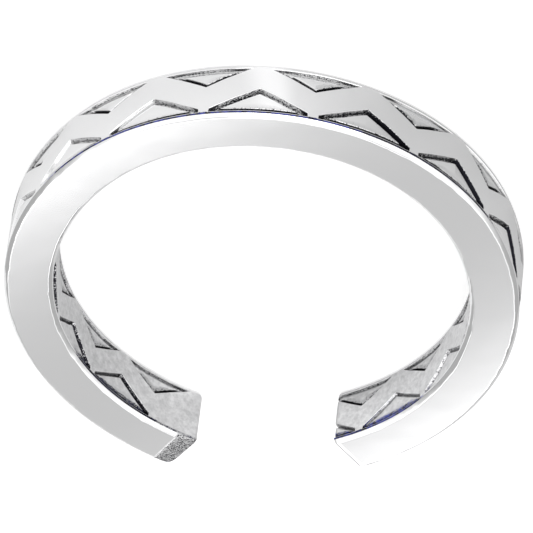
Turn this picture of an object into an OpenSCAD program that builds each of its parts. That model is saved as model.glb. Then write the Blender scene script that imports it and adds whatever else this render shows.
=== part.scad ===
// An open toe ring: one bent silver band with a raised zigzag on its outside and its inside.
// It lies on a flat side. The toe goes through along Z, the front of the band faces -Y
// and the gap between the two ends faces +Y.

/* [Band] */
// Inside radius of the front bend, around the toe
front_inner_r = 6.85; // [5:0.05:9]
// Sweep of the front bend, in degrees
front_sweep = 117; // [100:1:140]
// Inside radius of the two arms, which are bent flatter than the front
arm_inner_r = 8.3; // [7.5:0.05:11]
// Sweep of the longer arm, on the +X side, in degrees
long_arm_sweep = 106.5; // [80:0.5:112]
// Sweep of the shorter arm, on the -X side, in degrees
short_arm_sweep = 84.5; // [60:0.5:100]
// Thickness of the band, from the toe outwards
band_t = 1.68; // [1.3:0.02:2.4]
// Width of the band, along the toe
band_w = 2.3; // [2:0.05:4]
// Bevel along each long edge
edge_bevel = 0.125; // [0.05:0.005:0.2]

/* [Zigzag] */
// Length of one repeat, along the middle of the band
pitch = 3.32; // [2.4:0.02:4.5]
// Height that the zigzag climbs from valley to peak
zigzag_climb = 0.95; // [0.6:0.01:1.1]
// Height of the raised zigzag itself, across the band
zigzag_h = 0.98; // [0.6:0.01:1.2]
// How far the zigzag's middle lies below the middle of the band
zigzag_drop = 0.11; // [0:0.01:0.2]
// Place of the outside zigzag along the band, from the middle of the front
outside_shift = -0.1; // [-1:0.05:1]
// Place of the inside zigzag along the band
inside_shift = -0.35; // [-1:0.05:1]
// Land between the long bevel and the pockets
rim_land = 0.045; // [0.02:0.005:0.1]
// Least land between the tips of two neighbouring pockets
tip_land = 0.25; // [0.1:0.01:0.5]
// Depth of the pockets on the outside
outside_pocket_d = 0.22; // [0.12:0.01:0.3]
// Depth of the pockets on the inside
inside_pocket_d = 0.2; // [0.12:0.01:0.3]
// Width of the groove around the raised cushion inside each pocket
groove_w = 0.12; // [0.06:0.01:0.2]
// Rise of the cushion above the groove
cushion_h = 0.08; // [0.03:0.01:0.1]
// Plain stretch at the end of the longer arm, up to the middle of the last pocket
bare_l = 1.4; // [1:0.1:3]

/* [Ends] */
// Slant of each end face: its outer corner is set back, in degrees
end_slant = 10; // [0:1:20]
// Chamfer around each end face
end_chamfer = 0.16; // [0.05:0.01:0.25]
// Length of the rubbed facet on top of the longer arm's end
facet_l = 0.75; // [0.3:0.05:1.2]
// Fall of the rubbed facet over its length
facet_fall = 0.2; // [0.1:0.02:0.5]

/* [Hidden] */
$fn = 160;
// How far a cutter reaches past what it cuts
over = 0.4;
// Stock left on each arm for its slanted end cut
end_stock = 0.6;
// How far each arm reaches into the front, and how much thinner it is drawn on each side,
// so that the bends join on a clean edge
seam_lap = 0.05;
seam_step = 0.002;
silver = [0.86, 0.86, 0.87];

front_mid_r = front_inner_r + band_t / 2;
arm_mid_r = arm_inner_r + band_t / 2;
front_half_l = front_mid_r * front_sweep / 2 * PI / 180;
long_end_s = front_half_l + arm_mid_r * long_arm_sweep * PI / 180;
short_end_s = -front_half_l - arm_mid_r * short_arm_sweep * PI / 180;

// The middle line is measured by s, its length from the middle of the front, positive towards +X.
function in_front(s) = abs(s) <= front_half_l;
function bend_r(s) = in_front(s) ? front_mid_r : arm_mid_r;
function bend_centre(s) =
    in_front(s)
        ? [0, 0, 0]
        : (front_mid_r - arm_mid_r) * [sign(s) * sin(front_sweep / 2), -cos(front_sweep / 2), 0];
function heading(s) =
    -90 + (in_front(s)
        ? s / front_mid_r * 180 / PI
        : sign(s) * (front_sweep / 2 + (abs(s) - front_half_l) / arm_mid_r * 180 / PI));

// Places its children on the middle line at s: X points out of the ring, Y along the band
module at_band(s) {
    translate(bend_centre(s))
        rotate(heading(s))
            translate([bend_r(s), 0, 0])
                children();
}

// Sweeps a flat profile, drawn around the middle line, along one bend between two headings
module bend(s, from, to) {
    translate(bend_centre(s))
        rotate_extrude(angle = to - from, start = from)
            translate([bend_r(s), 0])
                children();
}

// Sweeps a flat profile along the whole band, with some stock past each end;
// the first child is the profile of the front, the second one that of the arms
module along_band() {
    stock = end_stock / arm_mid_r * 180 / PI;
    reach = seam_lap / arm_mid_r * 180 / PI;
    bend(0, heading(-front_half_l), heading(front_half_l))
        children(0);
    bend(long_end_s, heading(front_half_l) - reach, heading(long_end_s) + stock)
        children(1);
    bend(short_end_s, heading(short_end_s) - stock, heading(-front_half_l) + reach)
        children(1);
}

// Cross-section of the band: a rectangle with bevelled corners, thinner by a step on each side
module section(step) {
    x = band_t / 2 - step;
    b = edge_bevel;
    polygon([
        [-x, b], [-x + b, 0], [x - b, 0], [x, b],
        [x, band_w - b], [x - b, band_w], [-x + b, band_w], [-x, band_w - b]
    ]);
}

// Outline of one pocket: base on the rim, apex towards the zigzag, tips blunt where they would meet
function pocket_outline(apex_h, stretch) =
    let (
        slope = zigzag_climb / (pitch / 2),
        half_l = min(apex_h / slope, (pitch - tip_land) / 2),
        tip_h = apex_h - slope * half_l
    )
    concat(
        [[half_l * stretch, 0]],
        tip_h > 0 ? [[half_l * stretch, tip_h]] : [],
        [[0, apex_h]],
        tip_h > 0 ? [[-half_l * stretch, tip_h]] : [],
        [[-half_l * stretch, 0]]
    );

// A prism through a face of the band, as wide as one pocket drawn in by inset on every side;
// side is 1 for the outside and -1 for the inside, up is true for the row at the upper rim
module pocket_prism(s, side, up, inset) {
    rim_z = edge_bevel + rim_land;
    to_zigzag = band_w / 2 + (up ? 1 : -1) * zigzag_drop;
    apex_h = to_zigzag - rim_z - (zigzag_h - zigzag_climb) / 2;
    drawn_in = inset * (1 + norm([1, zigzag_climb / (pitch / 2)]));
    at_band(s)
        translate([side * band_t / 2, 0, up ? band_w - rim_z - inset : rim_z + inset])
            mirror([0, 0, up ? 1 : 0])
                rotate([90, 0, 90])
                    linear_extrude(height = 2 * over, center = true)
                        polygon(pocket_outline(apex_h - drawn_in, 1 + side * band_t / 2 / bend_r(s)));
}

// The prisms of a whole face: the upper row sits half a pitch off the lower row
module pocket_rows(side, shift, inset) {
    first = floor((short_end_s - shift) / pitch);
    last = ceil((long_end_s - shift) / pitch);
    for (i = [first : last], up = [true, false]) {
        s = shift + (i + (up ? 0.5 : 0)) * pitch;
        if (s > short_end_s - pitch / 2 && s < long_end_s - bare_l)
            pocket_prism(s, side, up, inset);
    }
}

// Cross-section of a skin over one face of the band, down to a depth, smaller by a step on each side
module skin_section(side, depth, step) {
    translate([side > 0 ? band_t / 2 - depth + step : -band_t / 2 - over + step, 0])
        square([depth + over - 2 * step, band_w]);
}

// The skin of one face of the band, down to a depth
module skin(side, depth) {
    along_band() {
        skin_section(side, depth, 0);
        skin_section(side, depth, seam_step);
    }
}

// All pockets of one face: shallow over the cushions, deep in the grooves around them
module pockets(side, depth, shift) {
    intersection() {
        skin(side, depth - cushion_h);
        pocket_rows(side, shift, 0);
    }
    intersection() {
        skin(side, depth);
        difference() {
            pocket_rows(side, shift, 0);
            pocket_rows(side, shift, groove_w);
        }
    }
}

// Places its children on an end of the band: Y points out of the metal, turned to the end's slant
module at_end(long) {
    at_band(long ? long_end_s : short_end_s)
        mirror([0, long ? 0 : 1, 0])
            rotate(-end_slant)
                children();
}

// What is cut from an end: the stock past the slanted face and a chamfer on its four edges
module end_cut(long) {
    bar = end_chamfer * sqrt(2);
    reach = band_t + band_w;
    at_end(long) {
        translate([-band_t, 0, -over])
            cube([2 * band_t, 2 * end_stock, band_w + 2 * over]);
        for (x = [-1, 1])
            translate([x * band_t / 2 / cos(end_slant), 0, band_w / 2])
                rotate(45)
                    cube([bar, bar, reach], center = true);
        for (z = [0, band_w])
            translate([0, 0, z])
                rotate([45, 0, 0])
                    cube([reach, bar, bar], center = true);
    }
}

// The facet rubbed onto the top of the longer arm's end
module facet_cut() {
    at_end(true)
        translate([-band_t, -facet_l, band_w])
            rotate([-atan(facet_fall / facet_l), 0, 0])
                cube([2 * band_t, facet_l + end_stock, over]);
}

module band() {
    color(silver)
        difference() {
            along_band() {
                section(0);
                section(seam_step);
            }
            pockets(1, outside_pocket_d, outside_shift);
            pockets(-1, inside_pocket_d, inside_shift);
            end_cut(true);
            end_cut(false);
            facet_cut();
        }
}

band();
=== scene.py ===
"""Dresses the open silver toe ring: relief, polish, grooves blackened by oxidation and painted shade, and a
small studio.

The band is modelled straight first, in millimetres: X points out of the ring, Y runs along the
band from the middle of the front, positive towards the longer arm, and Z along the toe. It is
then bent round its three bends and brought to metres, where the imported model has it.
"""
import logging
import math
from dataclasses import dataclass, field
from enum import Enum
from typing import Iterable, Sequence

import bmesh
import bpy
from mathutils import Matrix, Vector, noise


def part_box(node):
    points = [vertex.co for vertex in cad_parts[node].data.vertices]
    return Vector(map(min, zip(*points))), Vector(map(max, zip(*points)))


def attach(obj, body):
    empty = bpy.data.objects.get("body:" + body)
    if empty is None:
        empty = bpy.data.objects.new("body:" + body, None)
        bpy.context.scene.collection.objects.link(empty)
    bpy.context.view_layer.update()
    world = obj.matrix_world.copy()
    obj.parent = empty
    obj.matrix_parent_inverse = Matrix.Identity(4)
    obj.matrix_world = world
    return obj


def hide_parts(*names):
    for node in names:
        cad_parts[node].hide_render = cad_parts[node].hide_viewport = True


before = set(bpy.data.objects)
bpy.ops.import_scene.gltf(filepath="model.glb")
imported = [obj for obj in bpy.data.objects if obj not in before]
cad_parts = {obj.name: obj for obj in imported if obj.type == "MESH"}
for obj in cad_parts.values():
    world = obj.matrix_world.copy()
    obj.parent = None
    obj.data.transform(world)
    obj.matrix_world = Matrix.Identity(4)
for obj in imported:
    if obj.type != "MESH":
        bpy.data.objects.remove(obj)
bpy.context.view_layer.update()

log = logging.getLogger("toe_ring")

# One millimetre, in metres
MM = 0.001
# Distance in millimetres under which points count as one place, and under which they are merged
SNAP = 0.0005
MERGE = 4 * SNAP
# Cosine above which a face counts as facing straight along an axis
STRAIGHT = 0.99
# Places of a colour mix node's two colours and of its result
MIX_FIRST, MIX_SECOND, MIX_RESULT = 6, 7, 2

Vert = bmesh.types.BMVert
Edge = bmesh.types.BMEdge
Face = bmesh.types.BMFace
# Where something starts and where it ends
Span = tuple[float, float]
# Levels on the shorter arm's side, in the front and on the longer arm's side
Levels = tuple[float, float, float]
Colour = tuple[float, float, float, float]
Socket = bpy.types.NodeSocket
# What a node's input takes: another node's output or a plain value
Feed = Socket | float | tuple[float, ...]


class Wall(Enum):
    """The two faces of the band that carry relief, with the way each looks along X."""

    OUTSIDE = 1
    INSIDE = -1


class PocketSide(Enum):
    """The sides of a pocket: its rim, and the slopes that rise or fall along the band."""

    RIM = "rim"
    RISING = "rising"
    FALLING = "falling"


class Lane(Enum):
    """The lanes of the noise, one for each kind of unevenness."""

    ALONG = 1
    ACROSS = 2
    GRAIN = 3
    BEVEL = 5
    FINE_BEVEL = 7


def corners_of(faces: Iterable[Face]) -> list[Vert]:
    """The corners of some faces, each once and in the same order in every run."""
    return list(dict.fromkeys(vert for face in faces for vert in face.verts))


def edges_of(faces: Iterable[Face]) -> list[Edge]:
    """The edges of some faces, each once and in the same order in every run."""
    return list(dict.fromkeys(edge for face in faces for edge in face.edges))


def cut(bm: bmesh.types.BMesh, faces: Iterable[Face], point: Vector, normal: Vector,
        drop_beyond: bool = False) -> list[Face]:
    """Cuts some faces along a plane.

    Args:
        bm: The mesh.
        faces: The faces to cut.
        point: A point on the plane.
        normal: The plane's normal.
        drop_beyond: True to delete what lies on the normal's side.

    Returns:
        The faces that are there after the cut, from those given.
    """
    faces = list(faces)
    result = bmesh.ops.bisect_plane(
        bm, geom=[*corners_of(faces), *edges_of(faces), *faces], dist=SNAP, plane_co=point,
        plane_no=normal, clear_outer=drop_beyond)
    return [part for part in result["geom"] if isinstance(part, Face)]


def slice_along(bm: bmesh.types.BMesh, faces: Sequence[Face], stations: Sequence[float]) -> None:
    """Cuts a straight bar across at many stations, halving the work each time.

    Args:
        bm: The mesh.
        faces: The faces between the first and the last station.
        stations: The places of the cuts along Y, in order.
    """
    if not stations or not faces:
        return
    middle = len(stations) // 2
    at = stations[middle]
    parts = cut(bm, faces, Vector((0, at, 0)), Vector((0, 1, 0)))
    slice_along(bm, [f for f in parts if f.calc_center_median().y < at], stations[:middle])
    slice_along(bm, [f for f in parts if f.calc_center_median().y >= at], stations[middle + 1:])


@dataclass(frozen=True)
class Centreline:
    """The middle line of the band: a round front and two flatter arms, in millimetres."""

    front_inner_r: float = 6.85
    front_sweep: float = math.radians(117)
    arm_inner_r: float = 8.3
    long_arm_sweep: float = math.radians(106.5)
    short_arm_sweep: float = math.radians(84.5)
    band_t: float = 1.68

    @property
    def front_mid_r(self) -> float:
        """Radius of the middle line in the front."""
        return self.front_inner_r + self.band_t / 2

    @property
    def arm_mid_r(self) -> float:
        """Radius of the middle line in the arms."""
        return self.arm_inner_r + self.band_t / 2

    @property
    def front_half_l(self) -> float:
        """Half the length of the front."""
        return self.front_mid_r * self.front_sweep / 2

    @property
    def long_end(self) -> float:
        """Place of the longer arm's end along the band."""
        return self.front_half_l + self.arm_mid_r * self.long_arm_sweep

    @property
    def short_end(self) -> float:
        """Place of the shorter arm's end along the band."""
        return -self.front_half_l - self.arm_mid_r * self.short_arm_sweep

    def place(self, flat: Vector) -> Vector:
        """Bends one point of the straight bar round the ring.

        Args:
            flat: The point on the straight bar.

        Returns:
            The point on the ring.
        """
        along, side = flat.y, math.copysign(1, flat.y)
        half_sweep = self.front_sweep / 2
        if abs(along) <= self.front_half_l:
            centre, radius = Vector((0, 0, 0)), self.front_mid_r
            heading = along / self.front_mid_r
        else:
            radius = self.arm_mid_r
            shift = self.front_mid_r - radius
            centre = Vector((side * math.sin(half_sweep), -math.cos(half_sweep), 0)) * shift
            heading = side * (half_sweep + (abs(along) - self.front_half_l) / radius)
        out = Vector((math.sin(heading), -math.cos(heading), 0))
        return centre + out * (radius + flat.x) + Vector((0, 0, flat.z))


@dataclass(frozen=True)
class GrooveProfile:
    """Section of a pocket from its outline inwards: shoulder, groove and raised cushion.

    The dome is the run and rise of the steps over the cushion, and black is the blackening after
    each step of the whole section.
    """

    depth: float = 0.2
    cushion_depth: float = 0.065
    hold: float = 0.012
    wall_slope: float = math.radians(78)
    shoulder_r: float = 0.028
    foot_r: float = 0.03
    floor_w: float = 0.025
    side_slope: float = math.radians(66)
    side_foot_r: float = 0.018
    cushion_r: float = 0.05
    edge_steps: int = 3
    foot_steps: int = 2
    dome: tuple[tuple[float, float], ...] = ((0.055, 0.007), (0.055, 0.003))
    black: tuple[float, ...] = (
        0.0, 0.25, 0.55, 0.8, 0.95, 1.0, 0.85, 0.6, 0.85, 0.9, 0.56, 0.43, 0.36, 0.3, 0.27, 0.24)

    @staticmethod
    def arc(radius: float, start: float, end: float, count: int) -> list[tuple[float, float]]:
        """Steps along an arc whose slope goes from one angle to another.

        Args:
            radius: Radius of the arc.
            start: Slope at its start, in radians, positive downwards.
            end: Slope at its end.
            count: Number of steps.

        Returns:
            Run and drop of each step.
        """
        turn = 1 if end > start else -1
        angles = [start + (end - start) * i / count for i in range(count + 1)]
        return [(turn * radius * (math.sin(b) - math.sin(a)), turn * radius * (math.cos(a) - math.cos(b)))
                for a, b in zip(angles, angles[1:])]

    @staticmethod
    def straight(drop: float, slope: float) -> list[tuple[float, float]]:
        """One straight step that falls by drop at a slope."""
        return [(abs(drop) / math.tan(abs(slope)), drop)]

    def steps(self) -> list[tuple[float, float]]:
        """The whole section.

        Returns:
            Run and drop of each step, from the outline to the cushion's middle.
        """
        shoulder = self.arc(self.shoulder_r, 0, self.wall_slope, self.edge_steps)
        foot = self.arc(self.foot_r, self.wall_slope, 0, self.foot_steps)
        side_foot = self.arc(self.side_foot_r, 0, -self.side_slope, self.foot_steps)
        edge = self.arc(self.cushion_r, -self.side_slope, 0, self.edge_steps)
        wall_drop = self.depth - sum(drop for _, drop in shoulder + foot)
        side_rise = self.depth - self.cushion_depth + sum(drop for _, drop in side_foot + edge)
        return [
            (self.hold, 0), *shoulder, *self.straight(wall_drop, self.wall_slope), *foot,
            (self.floor_w, 0), *side_foot, *self.straight(-side_rise, self.side_slope), *edge,
            *((run, -rise) for run, rise in self.dome),
        ]


@dataclass(frozen=True)
class ZigzagRelief:
    """Two rows of pockets that leave a zigzag standing between them, on one wall of the bar."""

    wall: Wall
    shift: float
    line: Centreline
    band_w: float = 2.3
    rim: float = 0.17
    rim_line_w: float = 0.055
    pitch: float = 3.32
    climb: float = 0.95
    height: float = 0.98
    drop: float = 0.11
    tip_land: float = 0.25
    bare_l: float = 1.4
    profile: GrooveProfile = field(default_factory=GrooveProfile)

    @property
    def slope(self) -> float:
        """Climb of the zigzag for each millimetre along the band."""
        return self.climb / (self.pitch / 2)

    @property
    def plane_x(self) -> float:
        """Where the wall lies along X."""
        return self.wall.value * self.line.band_t / 2

    def apex_h(self, up: bool) -> float:
        """Height of a pocket of the upper or the lower row over its own rim."""
        to_zigzag = self.band_w / 2 + (self.drop if up else -self.drop)
        return to_zigzag - self.rim - (self.height - self.climb) / 2

    def half_l(self, up: bool) -> float:
        """Half the length of a pocket of the upper or the lower row."""
        return min(self.apex_h(up) / self.slope, (self.pitch - self.tip_land) / 2)

    def tip_h(self, up: bool) -> float:
        """Height of a pocket's blunt tip, 0 where the tip is sharp."""
        return self.apex_h(up) - self.slope * self.half_l(up)

    def pockets(self) -> list[tuple[float, bool]]:
        """The pockets of this wall.

        Returns:
            Place along the band and row of each, True for the upper one.
        """
        first = math.floor((self.line.short_end - self.shift) / self.pitch)
        last = math.ceil((self.line.long_end - self.shift) / self.pitch)
        places = [(self.shift + (i + (0.5 if up else 0)) * self.pitch, up)
                  for i in range(first, last + 1) for up in (True, False)]
        return [(at, up) for at, up in places
                if self.line.short_end - self.pitch / 2 < at < self.line.long_end - self.bare_l]

    def over_rim(self, height: float, up: bool) -> float:
        """Height over the rim of one row, for a height on the band."""
        return self.band_w - self.rim - height if up else height - self.rim

    def holds(self, spot: Vector, at: float, up: bool) -> bool:
        """Tells whether a point lies inside one pocket.

        Args:
            spot: The point on the wall.
            at: The pocket's place along the band.
            up: True for the upper row.

        Returns:
            True if the pocket holds it.
        """
        away, over = abs(spot.y - at), self.over_rim(spot.z, up)
        return away < self.half_l(up) and 0 < over < self.apex_h(up) - self.slope * away

    def side_at(self, spot: Vector) -> tuple[PocketSide, bool, float] | None:
        """Tells which side of which row a point in a pocket is nearest to.

        Args:
            spot: The point on the straight bar.

        Returns:
            The side, True for the upper row and the height over its rim, or nothing between the pockets.
        """
        for up in (True, False):
            turns = (spot.y - self.shift) / self.pitch - (0.5 if up else 0)
            away = (turns - round(turns)) * self.pitch
            over = self.over_rim(spot.z, up)
            under = self.apex_h(up) - self.slope * abs(away) - over
            if over > SNAP and under > SNAP:
                if over < under / math.hypot(1, self.slope):
                    return PocketSide.RIM, up, over
                return (PocketSide.RISING if (away > 0) == up else PocketSide.FALLING), up, over
        return None

    def faces(self, bm: bmesh.types.BMesh) -> list[Face]:
        """The faces that lie on this wall of the bar."""
        return [f for f in bm.faces if f.normal.x * self.wall.value > STRAIGHT
                and abs(f.calc_center_median().x - self.plane_x) < SNAP]

    def draw(self, bm: bmesh.types.BMesh) -> None:
        """Cuts the outlines of all pockets into the wall, and leaves one face in each.

        Args:
            bm: The straight bar.
        """
        for height in (self.rim, self.band_w - self.rim):
            cut(bm, self.faces(bm), Vector((0, 0, height)), Vector((0, 0, 1)))
        places = self.pockets()
        for at in sorted({at + end * self.pitch / 2 for at, _ in places for end in (-1, 0, 1)}):
            cut(bm, self.faces(bm), Vector((0, at, 0)), Vector((0, 1, 0)))
        for at, up in places:
            for end in (-1, 1):
                self.draw_slope(bm, at, up, end)
            self.join_halves(bm, at, up)

    def draw_slope(self, bm: bmesh.types.BMesh, at: float, up: bool, end: int) -> None:
        """Cuts one slope of a pocket and its blunt tip.

        Args:
            bm: The straight bar.
            at: The pocket's place along the band.
            up: True for the upper row.
            end: Which half of the pocket, -1 or 1 along Y.
        """
        near = [f for f in self.faces(bm) if 0 < (f.calc_center_median().y - at) * end < self.pitch / 2
                and self.rim < f.calc_center_median().z < self.band_w - self.rim]
        apex_z = self.band_w - self.rim - self.apex_h(up) if up else self.rim + self.apex_h(up)
        lean = -self.slope * end if up else self.slope * end
        parts = cut(bm, near, Vector((0, at, apex_z)), Vector((0, lean, 1)))
        if self.tip_h(up) > SNAP:
            row = [f for f in parts if self.over_rim(f.calc_center_median().z, up)
                   < self.apex_h(up) - self.slope * abs(f.calc_center_median().y - at)]
            cut(bm, row, Vector((0, at + end * self.half_l(up), 0)), Vector((0, 1, 0)))

    def join_halves(self, bm: bmesh.types.BMesh, at: float, up: bool) -> None:
        """Joins the two halves of a pocket's face.

        Args:
            bm: The straight bar.
            at: The pocket's place along the band.
            up: True for the upper row.
        """
        halves = [f for f in self.faces(bm) if self.holds(f.calc_center_median(), at, up)]
        seam = [e for e in edges_of(halves) if set(e.link_faces) == set(halves)]
        bmesh.ops.dissolve_edges(bm, edges=seam, use_verts=False)

    def sink(self, bm: bmesh.types.BMesh) -> None:
        """Sinks the pockets step by step, and closes their blunt tips where these run out.

        Args:
            bm: The straight bar, with the pockets' outlines.
        """
        mark = bm.faces.layers.int.new("pocket")
        black = bm.verts.layers.float["blackening"]
        places = self.pockets()
        for face in self.faces(bm):
            middle = face.calc_center_median()
            face[mark] = int(any(self.holds(middle, at, up) for at, up in places))
        tip_out = self.tip_h(True) / (1 + math.hypot(1, self.slope) - self.slope)
        gone, closed = 0.0, False
        for (run, drop), level in zip(self.profile.steps(), self.profile.black, strict=True):
            share = (tip_out - gone) / run
            shares = [share, 1 - share] if not closed and share <= 1 else [1]
            for part in shares:
                faces = [f for f in bm.faces if f[mark]]
                rings = bmesh.ops.inset_individual(
                    bm, faces=faces, thickness=run * part, depth=-drop * part, use_even_offset=True)
                for ring in rings["faces"]:
                    ring[mark] = 0
                corners = corners_of(f for f in bm.faces if f[mark])
                for corner in corners:
                    corner[black] = level
                if len(shares) == 2 and not closed:
                    bmesh.ops.remove_doubles(bm, verts=corners, dist=MERGE)
                    closed = True
            gone += run
        bm.faces.layers.int.remove(mark)

    def hold_rim(self, bm: bmesh.types.BMesh) -> None:
        """Cuts the standing metal just below the upper rim, so that the rim's line stays narrow."""
        height = self.band_w - self.rim - self.rim_line_w
        cut(bm, self.faces(bm), Vector((0, 0, height)), Vector((0, 0, 1)))


@dataclass(frozen=True)
class BandEnds:
    """Shape of the two ends: slanted, rounded, with a facet rubbed on top of the longer one."""

    slant: float = math.radians(10)
    slant_reach: float = 1.2
    round_r: float = 0.2
    round_turns: tuple[float, ...] = (12, 30, 48, 66, 90)
    facet_l: float = 0.75
    facet_fall: float = 0.2

    def stations(self, end: float, inward: int) -> list[float]:
        """Where the bar needs extra cuts near one end.

        Args:
            end: Place of the end along the band.
            inward: Way into the band along Y, -1 or 1.

        Returns:
            The places of the cuts.
        """
        rounded = [self.round_r * (1 - math.cos(math.radians(turn))) for turn in self.round_turns]
        return [end + inward * away for away in (*rounded, self.facet_l)]

    def shape(self, spot: Vector, away: float, long_arm: bool, half_t: float, band_w: float) -> Vector:
        """Moves one point near an end.

        Args:
            spot: The point on the straight bar.
            away: Its distance from the end.
            long_arm: True for the longer arm.
            half_t: Half the band's thickness.
            band_w: The band's width.

        Returns:
            The moved point.
        """
        spot = spot.copy()
        if away < self.round_r:
            inset = self.round_r - math.sqrt(self.round_r ** 2 - (self.round_r - away) ** 2)
            spot.x *= 1 - inset / half_t
            spot.z = band_w / 2 + (spot.z - band_w / 2) * (1 - 2 * inset / band_w)
        if long_arm and away < self.facet_l:
            spot.z = min(spot.z, band_w - self.facet_fall * (1 - away / self.facet_l))
        set_back = math.tan(self.slant) * spot.x * max(0.0, 1 - away / self.slant_reach)
        spot.y -= set_back if long_arm else -set_back
        return spot


@dataclass(frozen=True)
class CastWobble:
    """Small unevenness of a cast and hand-finished surface, in millimetres."""

    line_reach: float = 0.55
    line_shift: float = 0.014
    grain_reach: float = 0.13
    grain_depth: float = 0.012
    bevel_reach: float = 0.7
    bevel_fine_reach: float = 0.175
    bevel_fine_share: float = 0.6
    bevel_base: float = 0.2
    bevel_x: float = 3.0
    bevel_depth: float = 0.04
    seed: float = 17.3

    def at(self, spot: Vector, reach: float, lane: Lane) -> float:
        """Smooth noise between about -1 and 1 at one point, in one lane."""
        return noise.noise(spot / reach + Vector((lane.value * self.seed, self.seed, -lane.value)))

    def bevel_shift(self, spot: Vector) -> float:
        """How much wider the bevel is filed at one point of the flat face's edge.

        Args:
            spot: The point on the straight bar.

        Returns:
            The extra width, between 0 and the bevel's depth.
        """
        along = Vector((math.copysign(self.bevel_x, spot.x), spot.y, 0))
        fine = self.at(along, self.bevel_fine_reach, Lane.FINE_BEVEL)
        wide = self.at(along, self.bevel_reach, Lane.BEVEL) + self.bevel_fine_share * fine
        return self.bevel_depth * min(1.0, max(0.0, self.bevel_base + wide))

    def shift(self, spot: Vector, cavity: float) -> Vector:
        """How far one point of a wall moves.

        Args:
            spot: The point on the straight bar.
            cavity: 0 on the wall's surface, 1 at the bottom of a groove.

        Returns:
            The move.
        """
        return Vector((
            -math.copysign(self.grain_depth * cavity * self.at(spot, self.grain_reach, Lane.GRAIN), spot.x),
            self.line_shift * self.at(spot, self.line_reach, Lane.ALONG),
            self.line_shift * self.at(spot, self.line_reach, Lane.ACROSS),
        ))


def ease(value: float, start: float, end: float) -> float:
    """Smooth step from 0 at start to 1 at end."""
    share = min(1.0, max(0.0, (value - start) / (end - start)))
    return share * share * (3 - 2 * share)


@dataclass(frozen=True)
class Change:
    """A change of a level that sets in smoothly between two places along the band."""

    amount: float
    start: float
    end: float

    def at(self, y: float) -> float:
        """How much of the change is there at one place."""
        return self.amount * ease(y, self.start, self.end)


@dataclass(frozen=True)
class Course:
    """A level along the band: the one to start from, and the changes to it."""

    base: float
    changes: tuple[Change, ...] = ()

    def at(self, y: float) -> float:
        """The level at one place."""
        return self.base + sum(change.at(y) for change in self.changes)


@dataclass(frozen=True)
class WallWearAndShade:
    """Levels by which polishing and painted shade take the blackening off one wall's pockets and leave it
    along its upper rim.

    Blackening up to the level of the domes is a cushion's grey, which is never made darker.
    """

    rising: Levels
    rising_low: Levels
    falling: Levels
    falling_low: Levels
    top_rim: Course
    low_rim: Course
    rim_line: Course
    blue: Course
    domes: float


@dataclass(frozen=True)
class PolishWearAndShade:
    """How far the blackening is taken out of the grooves of both walls: partly by polishing, partly as
    painted shade that sets how dark each side and row of a pocket stays by how the light falls on it.
    """

    outside: WallWearAndShade = WallWearAndShade(
        rising=(0.36, 0.38, 0.66),
        rising_low=(0.1, 0.04, 0.3),
        falling=(0.04, 0.47, 0.5),
        falling_low=(-0.12, 0.24, 0.12),
        top_rim=Course(0.1, (Change(0.08, 1.0, 3.0), Change(0.3, 6.5, 9.0), Change(0.3, -5.5, -8.0))),
        low_rim=Course(0.5, (Change(0.12, -1.6, -2.2),)),
        rim_line=Course(0.85, (Change(-0.85, 8.0, 10.0), Change(-0.85, -6.0, -8.0))),
        blue=Course(0.1, (Change(0.8, -2.2, -1.2), Change(0.1, 3.4, 4.4))),
        domes=0.29,
    )
    inside: WallWearAndShade = WallWearAndShade(
        rising=(0.56, 0.5, 0.2),
        rising_low=(-0.06, -0.06, -0.06),
        falling=(0.52, 0.5, 0.46),
        falling_low=(-0.06, -0.06, -0.06),
        top_rim=Course(0.4, (Change(-0.7, 17.5, 19.0), Change(-0.7, -16.5, -18.0))),
        low_rim=Course(0.5),
        rim_line=Course(0.0, (
            Change(0.9, 17.8, 19.0), Change(-0.405, 22.6, 23.4), Change(0.9, -16.4, -17.6))),
        blue=Course(0.1, (Change(0.9, 0.0, -0.01),)),
        domes=0.26,
    )
    to_front: Span = (-2.8, -0.2)
    to_long_arm: Span = (2.2, 4.6)
    low_fade: Span = (0.05, 0.3)
    facet: float = 0.42

    def of(self, wall: Wall) -> WallWearAndShade:
        """What polishing and painted shade do to one wall."""
        return self.outside if wall is Wall.OUTSIDE else self.inside

    def along(self, levels: Levels, y: float) -> float:
        """Blends three levels into the one at a place along the band."""
        first = levels[0] + (levels[1] - levels[0]) * ease(y, *self.to_front)
        return first + (levels[2] - first) * ease(y, *self.to_long_arm)

    def taken(self, wall: Wall, side: PocketSide, up: bool, over: float, y: float) -> float:
        """How much blackening is gone near one side of a pocket, partly by polishing and partly as painted
        shade.

        Args:
            wall: The wall of the band.
            side: The nearest side of the pocket.
            up: True for the upper row.
            over: Height over the row's rim.
            y: Place along the band.

        Returns:
            What comes off the blackening.
        """
        wear_and_shade = self.of(wall)
        rising = side is PocketSide.RISING
        low_rim = wear_and_shade.low_rim.at(y)
        if side is PocketSide.RIM:
            return wear_and_shade.top_rim.at(y) if up else low_rim
        if up:
            return self.along(wear_and_shade.rising if rising else wear_and_shade.falling, y)
        slope = self.along(wear_and_shade.rising_low if rising else wear_and_shade.falling_low, y)
        return low_rim + (slope - low_rim) * ease(over, *self.low_fade)


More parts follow.
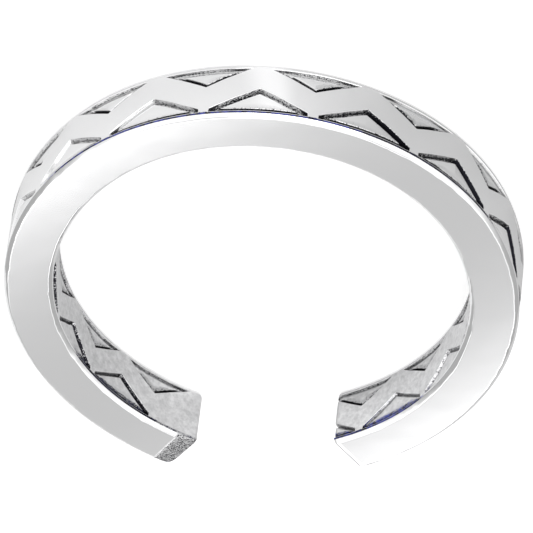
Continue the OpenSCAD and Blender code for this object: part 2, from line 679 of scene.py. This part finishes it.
@dataclass
class SilverBand:
    """The whole ring: one bent band with relief on both walls."""

    line: Centreline = field(default_factory=Centreline)
    ends: BandEnds = field(default_factory=BandEnds)
    wobble: CastWobble = field(default_factory=CastWobble)
    wear_and_shade: PolishWearAndShade = field(default_factory=PolishWearAndShade)
    band_w: float = 2.3
    bevel: float = 0.125
    bevel_soft: float = 0.03
    soft_segments: int = 3
    flat_hold: float = 0.02
    station_gap: float = 0.14
    trim_reach: float = 6.72
    low_groove_d: float = 0.09
    low_groove_fade: Span = (0.22, 0.6)
    rim_line_soft: float = 0.5
    clean_end: Span = (0.01, 0.07)
    inside_box: float = 0.003
    sharp_angle: float = math.radians(50)
    outside_shift: float = -0.1
    inside_shift: float = -0.35
    inside_groove: GrooveProfile = field(default_factory=lambda: GrooveProfile(
        depth=0.18, shoulder_r=0.02, foot_r=0.02, floor_w=0.01, side_slope=math.radians(72),
        side_foot_r=0.012, cushion_r=0.035))

    def reliefs(self) -> list[ZigzagRelief]:
        """The relief of each wall."""
        return [
            ZigzagRelief(Wall.OUTSIDE, self.outside_shift, self.line, self.band_w),
            ZigzagRelief(Wall.INSIDE, self.inside_shift, self.line, self.band_w, profile=self.inside_groove),
        ]

    def bar(self) -> bmesh.types.BMesh:
        """The straight bar with its bevelled and softened long edges.

        Returns:
            The mesh, with stock for one repeat past the shorter end.
        """
        bm = bmesh.new()
        bm.verts.layers.float.new("blackening")
        low = self.line.short_end - self.reliefs()[0].pitch
        high = self.line.long_end
        bmesh.ops.create_cube(bm, size=1)
        bmesh.ops.scale(bm, vec=(self.line.band_t, high - low, self.band_w), verts=bm.verts)
        bmesh.ops.translate(bm, vec=(0, (low + high) / 2, self.band_w / 2), verts=bm.verts)
        for offset, segments in ((self.bevel, 1), (self.bevel_soft, self.soft_segments)):
            long_edges = [e for e in bm.edges if abs(e.verts[0].co.y - e.verts[1].co.y) > self.line.band_t]
            bmesh.ops.bevel(
                bm, geom=long_edges, offset=offset, offset_type="OFFSET", segments=segments,
                profile=0.5, affect="EDGES", material=-1)
        for side in (-1, 1):
            edge_x = self.line.band_t / 2 - self.bevel - self.bevel_soft - self.flat_hold
            flats = [f for f in bm.faces if abs(f.normal.z) > STRAIGHT]
            cut(bm, flats, Vector((side * edge_x, 0, 0)), Vector((1, 0, 0)))
        return bm

    def trim(self, bm: bmesh.types.BMesh) -> None:
        """Cuts the stock off the shorter end and closes the bar there.

        Args:
            bm: The straight bar.
        """
        end = self.line.short_end
        near = [f for f in bm.faces if min(v.co.y for v in f.verts) < end + self.trim_reach]
        cut(bm, near, Vector((0, end, 0)), Vector((0, -1, 0)), drop_beyond=True)
        bmesh.ops.holes_fill(bm, edges=[e for e in bm.edges if e.is_boundary], sides=0)

    def stations(self) -> list[float]:
        """Where the bar is cut across so that it can bend.

        Returns:
            The places along the band, in order.
        """
        low, high = self.line.short_end, self.line.long_end
        count = round((high - low) / self.station_gap)
        even = [low + (high - low) * i / count for i in range(1, count)]
        near_ends = [*self.ends.stations(low, 1), *self.ends.stations(high, -1)]
        apart = [at for at in even if all(abs(at - other) > MERGE for other in near_ends)]
        return sorted(apart + near_ends)

    def low_groove(self, over: float) -> float:
        """How deep the grooves of the lower row may be at a height over its rim, where they fade out."""
        deeper = self.line.band_t - self.low_groove_d
        return self.low_groove_d + deeper * ease(over, *self.low_groove_fade)

    def dress_points(self, bm: bmesh.types.BMesh) -> None:
        """Stores what each point's finish follows, then moves every point to its place on the ring.

        Args:
            bm: The straight bar, with its relief.
        """
        inner = bm.verts.layers.float.new("inner")
        rubbed = bm.verts.layers.float.new("rubbed")
        blued = bm.verts.layers.float.new("blued")
        black = bm.verts.layers.float["blackening"]
        half_t = self.line.band_t / 2
        reliefs = {relief.wall: relief for relief in self.reliefs()}
        rim = reliefs[Wall.OUTSIDE].rim
        rim_line_h = rim - self.bevel + self.bevel_soft * self.rim_line_soft
        for vert in bm.verts:
            flat, spot = vert.co.copy(), vert.co.copy()
            on_wall = rim - SNAP < flat.z < self.band_w - rim + SNAP
            vert[inner] = 1.0 if flat.x < 0 and on_wall else 0.0
            if rim + SNAP < flat.z < self.band_w - rim - SNAP:
                spot += self.wobble.shift(spot, vert[black])
                spot.x = math.copysign(min(abs(spot.x), half_t), spot.x)
            wall = Wall.OUTSIDE if spot.x > 0 else Wall.INSIDE
            wear_and_shade = self.wear_and_shade.of(wall)
            near = reliefs[wall].side_at(flat) if vert[black] > 0 else None
            over_rim = flat.z - self.band_w + rim
            if near:
                side, up, over = near
                if not up:
                    spot.x = math.copysign(max(abs(spot.x), half_t - self.low_groove(over)), spot.x)
                # Painted shade: how much black each side and row of a pocket keeps follows how the light
                # falls on it, over the real blackening that polishing has left.
                taken = self.wear_and_shade.taken(wall, side, up, over, flat.y)
                vert[black] -= taken if vert[black] > wear_and_shade.domes else max(0.0, taken)
                if wall is Wall.INSIDE and up and side is PocketSide.RIM:
                    vert[blued] = wear_and_shade.blue.at(flat.y)
            elif -SNAP < over_rim < rim_line_h and abs(flat.x) > half_t - self.bevel_soft:
                vert[black] = wear_and_shade.rim_line.at(flat.y)
                vert[blued] = wear_and_shade.blue.at(flat.y)
            if spot.z > self.band_w - self.bevel_soft:
                spot.x -= math.copysign(self.wobble.bevel_shift(spot), spot.x)
            long_arm = spot.y > 0
            away = max(0.0, self.line.long_end - spot.y if long_arm else spot.y - self.line.short_end)
            on_facet = long_arm and away < self.ends.facet_l and spot.z > self.band_w - self.ends.facet_fall
            vert[rubbed] = 1.0 if on_facet else 0.0
            vert[black] = self.wear_and_shade.facet if on_facet else vert[black] * ease(away, *self.clean_end)
            shaped = self.ends.shape(spot, away, long_arm, half_t, self.band_w)
            shaped.x = min(shaped.x, half_t - self.inside_box)
            vert.co = self.line.place(shaped)

    def build(self) -> bpy.types.Object:
        """Makes the ring's mesh object.

        Returns:
            The object, in metres, with its origin at the frame's.
        """
        bm = self.bar()
        for relief in self.reliefs():
            relief.draw(bm)
            relief.sink(bm)
            relief.hold_rim(bm)
        self.trim(bm)
        slice_along(bm, bm.faces[:], self.stations())
        self.dress_points(bm)
        bmesh.ops.dissolve_degenerate(bm, dist=SNAP / 2, edges=bm.edges)
        bmesh.ops.scale(bm, vec=(MM, MM, MM), verts=bm.verts)
        bm.normal_update()
        mesh = bpy.data.meshes.new("band_silver")
        bm.to_mesh(mesh)
        bm.free()
        mesh.shade_smooth()
        mesh.set_sharp_from_angle(angle=self.sharp_angle)
        ring = bpy.data.objects.new("band_silver", mesh)
        bpy.context.scene.collection.objects.link(ring)
        return ring


def flat_sheet(name: str, half: float, paper: bpy.types.Material) -> bpy.types.Object:
    """Makes a flat square around the origin.

    Args:
        name: Its name.
        half: Half its width, in metres.
        paper: Its material.

    Returns:
        The object.
    """
    bm = bmesh.new()
    bmesh.ops.create_grid(bm, x_segments=1, y_segments=1, size=half)
    mesh = bpy.data.meshes.new(name)
    bm.to_mesh(mesh)
    bm.free()
    mesh.materials.append(paper)
    sheet = bpy.data.objects.new(name, mesh)
    bpy.context.scene.collection.objects.link(sheet)
    return sheet


@dataclass(frozen=True)
class Grain:
    """A noise texture: its scale for each metre, its detail and its roughness."""

    scale: float
    detail: float
    roughness: float


class Nodes:
    """The nodes of one tree, each made with what goes into it."""

    def __init__(self, tree: bpy.types.NodeTree) -> None:
        """Takes over a tree.

        Args:
            tree: The tree, with the nodes that it has.
        """
        self.tree = tree

    def feed(self, node: bpy.types.Node, inputs: dict[str | int, Feed]) -> None:
        """Links a node's inputs to other nodes' outputs, or sets their values.

        Args:
            node: The node.
            inputs: What goes into each input, by its name or place.
        """
        for name, value in inputs.items():
            if isinstance(value, Socket):
                self.tree.links.new(value, node.inputs[name])
            else:
                node.inputs[name].default_value = value

    def add(self, kind: str, inputs: dict[str | int, Feed] | None = None,
            **settings: object) -> bpy.types.Node:
        """Adds a node.

        Args:
            kind: The node's type, without its prefix.
            inputs: What goes into each input, by its name or place.
            settings: The node's other properties by name.

        Returns:
            The node.
        """
        node = self.tree.nodes.new(f"ShaderNode{kind}")
        for name, value in settings.items():
            setattr(node, name, value)
        self.feed(node, inputs or {})
        return node

    def math(self, operation: str, *values: Feed) -> Socket:
        """Result of a sum over some values."""
        return self.add("Math", dict(enumerate(values)), operation=operation).outputs[0]

    def dot(self, way: Socket, other: tuple[float, float, float]) -> Socket:
        """Dot product of two vectors."""
        return self.add("VectorMath", {0: way, 1: other}, operation="DOT_PRODUCT").outputs["Value"]

    def mix(self, share: Socket, first: Feed, second: Feed) -> Socket:
        """Mix of two colours, the second by its share."""
        inputs = {0: share, MIX_FIRST: first, MIX_SECOND: second}
        return self.add("Mix", inputs, data_type="RGBA").outputs[MIX_RESULT]

    def grain(self, point: Socket, grain: Grain) -> Socket:
        """Value of a noise texture at a point."""
        return self.add("TexNoise", {
            "Vector": point, "Scale": grain.scale, "Detail": grain.detail, "Roughness": grain.roughness,
        }).outputs["Fac"]

    def ramp(self, value: Socket, span: Span = (0.0, 1.0), low: Feed = 0.0, high: Feed = 1.0,
             smooth: bool = True) -> Socket:
        """Turns a value into a level.

        Args:
            value: The value.
            span: The values between which the level changes.
            low: The level at the span's start.
            high: The level at its end.
            smooth: True for a smooth step, False for a straight one.

        Returns:
            The level.
        """
        return self.add("MapRange", {
            "Value": value, "From Min": span[0], "From Max": span[1], "To Min": low, "To Max": high,
        }, interpolation_type="SMOOTHSTEP" if smooth else "LINEAR").outputs["Result"]


class ShaderGroup(Nodes):
    """A shader node group with named inputs and one output."""

    def __init__(self, name: str, inputs: dict[str, str], output: str) -> None:
        """Starts a group that has only its sockets.

        Args:
            name: The group's name.
            inputs: The kind of each input, Float or Vector, by name.
            output: The name of the output, a float.
        """
        super().__init__(bpy.data.node_groups.new(name, "ShaderNodeTree"))
        for socket, kind in inputs.items():
            self.tree.interface.new_socket(name=socket, in_out="INPUT", socket_type=f"NodeSocket{kind}")
        self.tree.interface.new_socket(name=output, in_out="OUTPUT", socket_type="NodeSocketFloat")
        self.inlet = self.tree.nodes.new("NodeGroupInput")
        self.outlet = self.tree.nodes.new("NodeGroupOutput")


@dataclass(frozen=True)
class OxidisedSilver:
    """Polished silver that is blackened in its grooves, partly by real oxidation and partly as painted
    shade.
    """

    bright: Colour = (0.93, 0.93, 0.935, 1)
    dull: Colour = (0.42, 0.42, 0.43, 1)
    # Black of the grooves' oxidation, also used for the painted shade on groove sides.
    oxide_and_shade: Colour = (0.015, 0.015, 0.02, 1)
    blue: Colour = (0.11, 0.13, 0.5, 1)
    polish: float = 0.1
    oxide_roughness: float = 0.45
    cast_level: float = 0.5
    rubbed_dull: float = 0.25
    noise_middle: Span = (0.35, 0.65)
    speckle: Grain = Grain(20000.0, 3.0, 0.6)
    speckle_spread: float = 0.25
    black_levels: Span = (0.34, 0.56)
    grey_levels: Span = (0.02, 0.4)
    greyest: float = 0.3
    stain: Grain = Grain(5000.0, 4.0, 0.7)
    stain_levels: Span = (0.42, 0.62)
    mottle: Span = (0.45, 1.3)
    cast_grain: Grain = Grain(11000.0, 4.0, 0.65)
    hairlines: Grain = Grain(30000.0, 2.0, 0.5)
    hairline_share: float = 0.1
    waves: Grain = Grain(700.0, 1.0, 0.4)
    wave_share: float = 0.6
    bump_height: float = 0.000004

    def oxide_and_shade_group(self) -> bpy.types.NodeTree:
        """Where the blackening stays: black in the grooves with a broken edge, grey over the cushions.

        Returns:
            The group: Blackening and Point in, Mask out.
        """
        group = ShaderGroup("groove_oxide_and_shade", {"Blackening": "Float", "Point": "Vector"}, "Mask")
        level, point = group.inlet.outputs["Blackening"], group.inlet.outputs["Point"]
        speckle, most = group.grain(point, self.speckle), self.speckle_spread
        broken = group.math("ADD", group.ramp(speckle, self.noise_middle, -most, most, smooth=False), level)
        black = group.ramp(broken, self.black_levels)
        grey = group.ramp(level, self.grey_levels, high=self.greyest)
        group.feed(group.outlet, {"Mask": group.math("MAXIMUM", black, grey)})
        return group.tree

    def surface_group(self) -> bpy.types.NodeTree:
        """Height of the metal's fine surface: polishing waves, hairlines and casting grain.

        Returns:
            The group: Point and Cast in, Height out.
        """
        group = ShaderGroup("silver_surface", {"Point": "Vector", "Cast": "Float"}, "Height")
        point, cast = group.inlet.outputs["Point"], group.inlet.outputs["Cast"]
        rough = group.math("MULTIPLY", group.grain(point, self.cast_grain), cast)
        fine = group.math("MULTIPLY_ADD", group.grain(point, self.hairlines), self.hairline_share, rough)
        height = group.math("MULTIPLY_ADD", group.grain(point, self.waves), self.wave_share, fine)
        group.feed(group.outlet, {"Height": height})
        return group.tree

    def material(self) -> bpy.types.Material:
        """Builds the material.

        Returns:
            The material.
        """
        silver = bpy.data.materials.new("oxidised_silver")
        silver.use_nodes = True
        nodes = Nodes(silver.node_tree)
        point = nodes.add("TexCoord").outputs["Object"]
        black, inner, rubbed, blued = (
            nodes.add("Attribute", attribute_name=name).outputs["Fac"]
            for name in ("blackening", "inner", "rubbed", "blued"))
        cast = nodes.math("MULTIPLY", inner, self.cast_level)
        rough = nodes.math("MAXIMUM", nodes.math("MAXIMUM", cast, rubbed), black)
        dulled = nodes.math("MAXIMUM", nodes.math("MULTIPLY", rubbed, self.rubbed_dull), cast)
        stain = nodes.grain(point, self.stain)
        mottle = nodes.ramp(stain, self.noise_middle, *self.mottle, smooth=False)
        patina = nodes.mix(nodes.math("MULTIPLY", dulled, mottle), self.bright, self.dull)
        stained = nodes.ramp(stain, self.stain_levels, smooth=False)
        film = nodes.mix(nodes.math("MULTIPLY", stained, blued), self.oxide_and_shade, self.blue)
        # The mask carries real oxidation in the grooves and the painted shade that the blackening levels
        # add.
        oxide_and_shade = nodes.add("Group", {"Blackening": black, "Point": point}, node_tree=self.oxide_and_shade_group())
        mask = oxide_and_shade.outputs["Mask"]
        surface = nodes.add("Group", {"Point": point, "Cast": rough}, node_tree=self.surface_group())
        bump = nodes.add("Bump", {
            "Strength": 1.0, "Distance": self.bump_height, "Height": surface.outputs["Height"]})
        nodes.feed(nodes.tree.nodes["Principled BSDF"], {
            "Base Color": nodes.mix(mask, patina, film),
            "Metallic": 1.0,
            "Roughness": nodes.ramp(mask, low=self.polish, high=self.oxide_roughness, smooth=False),
            "Normal": bump.outputs["Normal"],
        })
        return silver


@dataclass(frozen=True)
class GradedCard:
    """A glowing card whose mirror image grades the ring's flat face, in metres.

    The card hangs where the camera sees it in the flat face, so a place on it is a place in the
    picture. It is darkest along a line that runs across the picture.
    """

    distance: float = 0.1
    half: float = 0.035
    turn: float = math.radians(61.8)
    line_shift: float = 0.001156
    reach: float = 0.0094
    darkest: float = 0.575
    gain: float = 0.52
    curve: float = 3.8
    brightest: float = 1.8

    def paper(self) -> bpy.types.Material:
        """The card's glow, which rises evenly to both sides of its dark line.

        Returns:
            The material.
        """
        glow = bpy.data.materials.new("graded_card")
        glow.use_nodes = True
        nodes = Nodes(glow.node_tree)
        nodes.tree.nodes.remove(nodes.tree.nodes["Principled BSDF"])
        point = nodes.add("TexCoord").outputs["Object"]
        across = nodes.dot(point, (math.cos(self.turn), -math.sin(self.turn), 0))
        share = nodes.math("DIVIDE", nodes.math("SUBTRACT", across, self.line_shift), self.reach)
        rise = nodes.math("POWER", nodes.math("ABSOLUTE", share), self.curve)
        level = nodes.math("MULTIPLY_ADD", rise, self.gain, self.darkest)
        shine = nodes.add("Emission", {"Strength": nodes.math("MINIMUM", level, self.brightest)})
        nodes.feed(nodes.tree.nodes["Material Output"], {"Surface": shine.outputs["Emission"]})
        return glow

    def hang(self, camera: bpy.types.Object, top_z: float) -> None:
        """Hangs the card where the camera sees it in the flat face.

        Args:
            camera: The camera.
            top_z: Height of the flat face.
        """
        view = camera.matrix_world
        spot = view.translation
        back = view.col[2].to_3d()
        seen = spot - back * ((spot.z - top_z) / back.z)
        across, upright, towards = (view.col[i].to_3d() * Vector((1, 1, -1)) for i in range(3))
        turn = Matrix((across, upright, across.cross(upright))).transposed().to_4x4()
        card = flat_sheet("graded_card", self.half, self.paper())
        card.matrix_world = Matrix.Translation(seen - towards * self.distance) @ turn
        card.visible_camera = False


@dataclass
class Studio:
    """A pale floor, soft light and the camera at the photograph's angle, in metres.

    The ring mirrors the floor dimmed. Outside wall_r the floor darkens along X and has a glint in
    the middle, for the outer wall, and inside it has other levels, for the inner wall.
    """

    azimuth: float = math.radians(5.354)
    elevation: float = math.radians(41)
    roll: float = math.radians(187.043)
    distance: float = 0.25832
    offset_x: float = 0.000036
    offset_y: float = 0.000211
    field_of_view: float = math.radians(4)
    clip: Span = (0.01, 10.0)
    floor_half: float = 0.6
    floor_white: float = 0.95
    floor_glow: float = 0.3
    floor_roughness: float = 0.9
    wall_r: Span = (0.0072, 0.0084)
    outer_left: float = 0.68
    outer_right: float = 0.47
    outer_x: Span = (0.003, -0.0045)
    glint: float = 0.14
    glint_left_x: Span = (0.003, 0.0016)
    glint_right_x: Span = (0.0004, 0.0014)
    inner_right: float = 0.73
    inner_left: float = 0.55
    inner_x: Span = (-0.004, 0.004)
    sky: float = 0.6
    tent: float = 1.2
    tent_way: tuple[float, float, float] = (0, -0.5, 0.866)
    tent_edge: Span = (0.05, 0.45)
    tent_top: float = 0.8
    tent_top_z: Span = (0.8, 0.95)
    tent_hem: float = 0.74
    tent_hem_z: Span = (0.62, 0.45)
    key: float = 1.4
    key_way: tuple[float, float, float] = (-0.05, -0.6, 0.8)
    key_distance: float = 0.5
    key_size: float = 0.36

    def back(self) -> Vector:
        """The way from the ring to the camera."""
        return Vector((
            math.sin(self.azimuth) * math.cos(self.elevation),
            -math.cos(self.azimuth) * math.cos(self.elevation),
            math.sin(self.elevation),
        ))

    def camera(self, middle_z: float) -> bpy.types.Object:
        """Sets up the camera.

        Args:
            middle_z: Height of the ring's middle.

        Returns:
            The camera.
        """
        back = self.back()
        right = Vector((0, 0, 1)).cross(back).normalized()
        up = back.cross(right)
        across = math.cos(self.roll) * right + math.sin(self.roll) * up
        upright = -math.sin(self.roll) * right + math.cos(self.roll) * up
        spot = back * self.distance - across * self.offset_x - upright * self.offset_y
        spot.z += middle_z
        data = bpy.data.cameras.new("camera")
        data.sensor_fit = "HORIZONTAL"
        data.angle = self.field_of_view
        data.clip_start, data.clip_end = self.clip
        seen = bpy.data.objects.new("camera", data)
        turn = Matrix((across, upright, back)).transposed().to_4x4()
        seen.matrix_world = Matrix.Translation(spot) @ turn
        bpy.context.scene.collection.objects.link(seen)
        bpy.context.scene.camera = seen
        return seen

    def paper(self) -> bpy.types.Material:
        """White paper on a light table, which the ring mirrors darker than it is.

        Returns:
            The material.
        """
        paper = bpy.data.materials.new("white_paper")
        paper.use_nodes = True
        nodes = Nodes(paper.node_tree)
        point = nodes.add("TexCoord").outputs["Object"]
        x = nodes.add("SeparateXYZ", {0: point}).outputs["X"]
        radius = nodes.add("VectorMath", {0: point}, operation="LENGTH").outputs["Value"]
        glint_left = nodes.ramp(x, self.glint_left_x, high=self.glint)
        glint_right = nodes.ramp(x, self.glint_right_x, high=self.glint)
        shade = nodes.ramp(x, self.outer_x, self.outer_left, self.outer_right)
        outer = nodes.math("ADD", nodes.math("MINIMUM", glint_left, glint_right), shade)
        inner = nodes.ramp(x, self.inner_x, self.inner_right, self.inner_left)
        mirrored = nodes.ramp(radius, self.wall_r, inner, outer, smooth=False)
        glossy = nodes.add("LightPath").outputs["Is Glossy Ray"]
        seen = nodes.ramp(glossy, low=1.0, high=mirrored, smooth=False)
        white = nodes.math("MULTIPLY", seen, self.floor_white)
        nodes.feed(nodes.tree.nodes["Principled BSDF"], {
            "Base Color": white,
            "Emission Color": white,
            "Emission Strength": self.floor_glow,
            "Roughness": self.floor_roughness,
        })
        return paper

    def floor(self) -> None:
        """Makes the pale floor."""
        ground = flat_sheet("floor", self.floor_half, self.paper())

    def panel(self, name: str, way: Vector, distance: float, size: float, radiance: float) -> None:
        """Hangs a soft square light panel that faces the ring.

        Args:
            name: The light's name.
            way: The way from the ring to the panel.
            distance: How far away it hangs.
            size: Its width and height.
            radiance: How bright its face is.
        """
        data = bpy.data.lights.new(name, "AREA")
        data.size = size
        data.energy = radiance * math.pi * size * size
        lamp = bpy.data.objects.new(name, data)
        lamp.matrix_world = (Matrix.Translation(way.normalized() * distance)
                             @ way.to_track_quat("Z", "Y").to_matrix().to_4x4())
        lamp.visible_camera = False
        bpy.context.scene.collection.objects.link(lamp)

    def light(self) -> None:
        """Lights the stage with an even sky, a bright tent over the camera and a soft key."""
        world = bpy.data.worlds.new("tent")
        world.use_nodes = True
        nodes = Nodes(world.node_tree)
        way = nodes.add("TexCoord").outputs["Generated"]
        z = nodes.add("SeparateXYZ", {0: way}).outputs["Z"]
        top = nodes.ramp(z, self.tent_top_z, self.tent, self.tent_top)
        level = nodes.ramp(nodes.dot(way, self.tent_way), self.tent_edge, self.sky, top)
        hem = nodes.ramp(z, self.tent_hem_z, 1.0, self.tent_hem)
        nodes.feed(nodes.tree.nodes["Background"], {
            "Color": (1, 1, 1, 1), "Strength": nodes.math("MULTIPLY", level, hem)})
        bpy.context.scene.world = world
        self.panel("key", Vector(self.key_way), self.key_distance, self.key_size, self.key)

    def grade(self) -> None:
        """Sets a plain view of the colours."""
        view = bpy.context.scene.view_settings
        view.view_transform = "Standard"
        view.look = "None"
        view.exposure = 0
        view.gamma = 1


def main() -> None:
    """Builds the ring and the studio, and logs the ring's face count."""
    logging.basicConfig(level=logging.INFO, format="%(name)s: %(message)s")
    low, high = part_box("band")
    ring = SilverBand().build()
    ring.data.materials.append(OxidisedSilver().material())
    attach(ring, "root")
    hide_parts("band")
    log.info("band_silver: %d faces", len(ring.data.polygons))
    studio = Studio()
    camera = studio.camera((low.z + high.z) / 2)
    studio.floor()
    studio.light()
    GradedCard().hang(camera, high.z)
    studio.grade()


if __name__ == "__main__":
    main()
